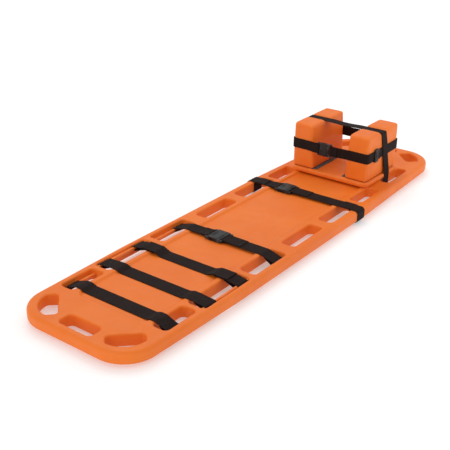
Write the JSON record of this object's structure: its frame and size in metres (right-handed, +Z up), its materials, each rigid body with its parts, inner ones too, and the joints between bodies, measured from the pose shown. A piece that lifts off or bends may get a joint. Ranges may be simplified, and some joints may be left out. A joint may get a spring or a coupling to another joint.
{
  "type": "spine board",
  "caption": "Moulded orange rescue spine board with handholds, webbing restraint straps, side-release buckles and a foam head immobiliser.",
  "frame": {"origin": "on the floor under the middle of the board", "axes": "+Z up, +Y towards the head end, +X to the patient's left"},
  "size_m": [0.4676, 1.84, 0.242],
  "materials": {
    "board_orange": "moulded polyethylene, finely textured, light scuffs",
    "plug_orange": "smooth moulded plug",
    "core_foam": "rigid closed-cell foam",
    "body_webbing": "woven polyester webbing with a ribbed face",
    "head_webbing": "woven webbing with loop pile",
    "buckle_black": "moulded acetal, satin",
    "coated_foam": "closed-cell foam with a dipped vinyl coat",
    "loop_panel": "loop pile",
    "hook_panel": "moulded hooks"
  },
  "bodies": {
    "root": {"board_skin": "board_orange", "strap_pins_left": "board_orange", "strap_pins_right": "board_orange", "fill_plugs": "plug_orange", "foam_core": "core_foam", "ankle_strap": "body_webbing", "shin_strap": "body_webbing", "thigh_tab_left": "body_webbing", "thigh_tab_right": "body_webbing", "thigh_strap": "body_webbing", "hip_strap_left": "body_webbing", "hip_strap_right": "body_webbing", "chest_strap_left": "body_webbing", "chest_strap_right": "body_webbing", "forehead_strap": "head_webbing", "chin_strap_left": "head_webbing", "chin_strap_right": "head_webbing", "hip_buckle_receiver": "buckle_black", "chest_buckle_receiver": "buckle_black", "chin_buckle_receiver": "buckle_black", "base_pad": "coated_foam", "loop_field_left": "loop_panel", "loop_field_right": "loop_panel"},
    "hip_plug": {"hip_buckle_plug": "buckle_black"},
    "hip_prong_left": {"hip_buckle_prong_left": "buckle_black"},
    "hip_prong_right": {"hip_buckle_prong_right": "buckle_black"},
    "chest_plug": {"chest_buckle_plug": "buckle_black"},
    "chest_prong_left": {"chest_buckle_prong_left": "buckle_black"},
    "chest_prong_right": {"chest_buckle_prong_right": "buckle_black"},
    "chin_plug": {"chin_buckle_plug": "buckle_black"},
    "chin_prong_left": {"chin_buckle_prong_left": "buckle_black"},
    "chin_prong_right": {"chin_buckle_prong_right": "buckle_black"},
    "chin_slider": {"chin_slider": "buckle_black"},
    "head_block_left": {"head_block_left": "coated_foam", "hook_patch_left": "hook_panel"},
    "head_block_right": {"head_block_right": "coated_foam", "hook_patch_right": "hook_panel"}
  },
  "joints": [
    {"name": "hip_release", "type": "slide", "parent": "root", "child": "hip_plug", "axis": [1, 0, 0], "range_m": [0, 0.036], "deforming": ["hip_strap_left"]},
    {"name": "hip_prong_left", "type": "hinge", "parent": "hip_plug", "child": "hip_prong_left", "pos_m": [-0.0105, -0.192, 0.0513], "axis": [0, 0, 1], "range_deg": [0, 5], "stiffness_Nm_per_rad": 0.01},
    {"name": "hip_prong_right", "type": "hinge", "parent": "hip_plug", "child": "hip_prong_right", "pos_m": [-0.0105, -0.232, 0.0513], "axis": [0, 0, 1], "range_deg": [-5, 0], "stiffness_Nm_per_rad": 0.01},
    {"name": "chest_release", "type": "slide", "parent": "root", "child": "chest_plug", "axis": [1, 0, 0], "range_m": [0, 0.036], "deforming": ["chest_strap_left"]},
    {"name": "chest_prong_left", "type": "hinge", "parent": "chest_plug", "child": "chest_prong_left", "pos_m": [-0.0555, 0.281, 0.0513], "axis": [0, 0, 1], "range_deg": [0, 5], "stiffness_Nm_per_rad": 0.01},
    {"name": "chest_prong_right", "type": "hinge", "parent": "chest_plug", "child": "chest_prong_right", "pos_m": [-0.0555, 0.241, 0.0513], "axis": [0, 0, 1], "range_deg": [-5, 0], "stiffness_Nm_per_rad": 0.01},
    {"name": "chin_release", "type": "slide", "parent": "root", "child": "chin_plug", "axis": [1, 0, 0], "range_m": [0, 0.028], "deforming": ["chin_strap_left"]},
    {"name": "chin_prong_left", "type": "hinge", "parent": "chin_plug", "child": "chin_prong_left", "pos_m": [-0.01, 0.4359, 0.1775], "axis": [0, -1, 0], "range_deg": [0, 5], "stiffness_Nm_per_rad": 0.01},
    {"name": "chin_prong_right", "type": "hinge", "parent": "chin_plug", "child": "chin_prong_right", "pos_m": [-0.01, 0.4359, 0.1475], "axis": [0, -1, 0], "range_deg": [-5, 0], "stiffness_Nm_per_rad": 0.01},
    {"name": "head_block_left_slide", "type": "slide", "parent": "root", "child": "head_block_left", "axis": [-1, 0, 0], "range_m": [0, 0.018]},
    {"name": "head_block_right_slide", "type": "slide", "parent": "root", "child": "head_block_right", "axis": [1, 0, 0], "range_m": [0, 0.018]},
    {"name": "chin_slider_slide", "type": "slide", "parent": "root", "child": "chin_slider", "axis": [0, 1, 0], "range_m": [-0.01, 0.018]}
  ],
  "couplings": [
    {"joint": "hip_prong_right", "follows": "hip_prong_left", "ratio": -1},
    {"joint": "chest_prong_right", "follows": "chest_prong_left", "ratio": -1},
    {"joint": "chin_prong_right", "follows": "chin_prong_left", "ratio": -1}
  ]
}
